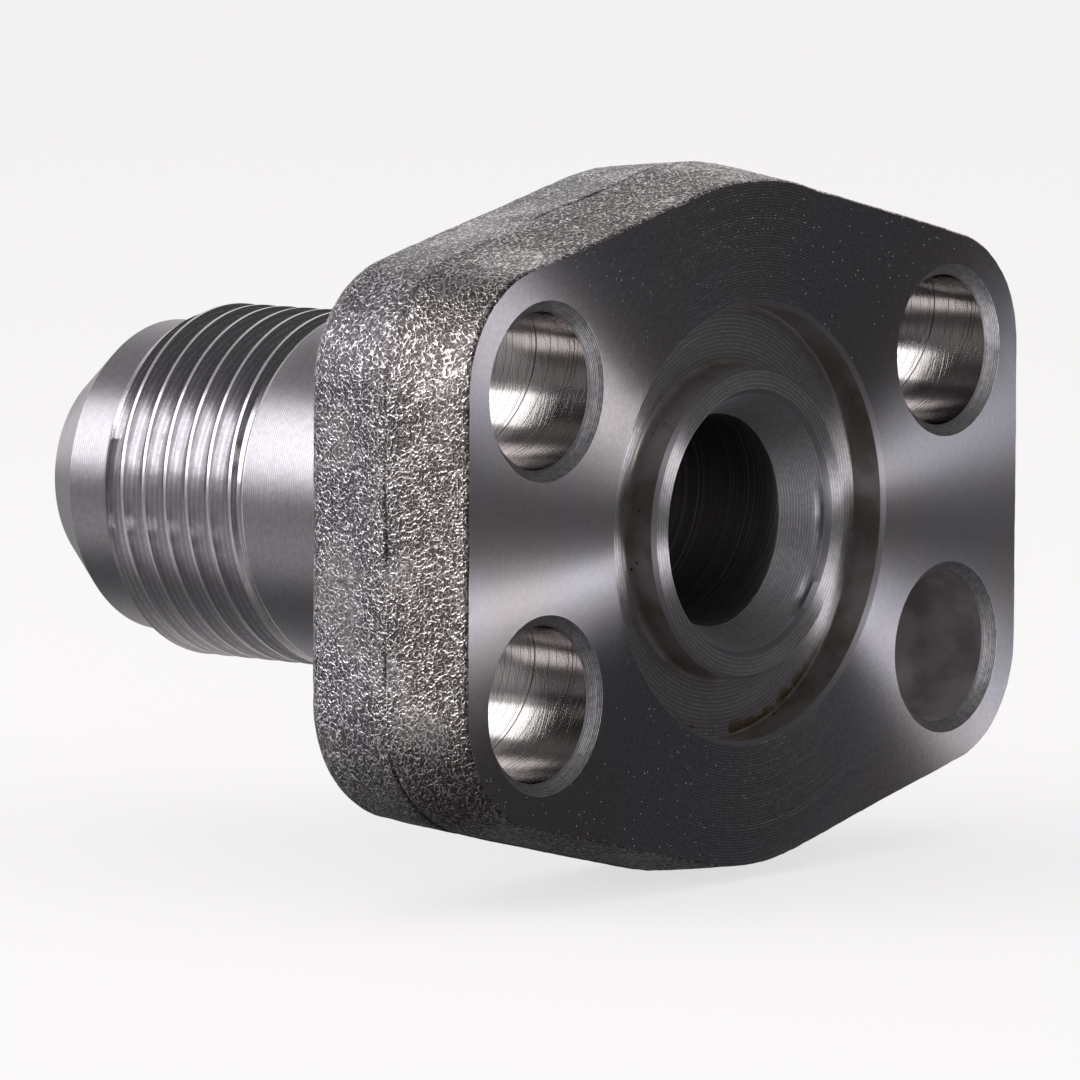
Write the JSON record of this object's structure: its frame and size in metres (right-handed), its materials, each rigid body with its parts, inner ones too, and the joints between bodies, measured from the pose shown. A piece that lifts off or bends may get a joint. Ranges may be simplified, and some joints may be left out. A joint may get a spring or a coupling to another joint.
{
  "type": "hydraulic flange adapter",
  "caption": "Forged steel adapter: a bolted flange head with a face seal groove round its port, and behind it a hollow threaded stem with a male flare nose.",
  "frame": {"origin": "centre of the machined port face, on the bore axis", "axes": "-Y out of the port face, +Y along the stem to its nose, X along the long side of the bolt rectangle, +Z along its short side"},
  "size_m": [0.0672, 0.0604, 0.052],
  "materials": {
    "bare_steel": "bare carbon steel, turned bright on the face, port and stem, left as forged and shot blasted round the head, lightly oiled"
  },
  "bodies": {
    "root": {"flange_adapter": "bare_steel"}
  },
  "joints": []
}
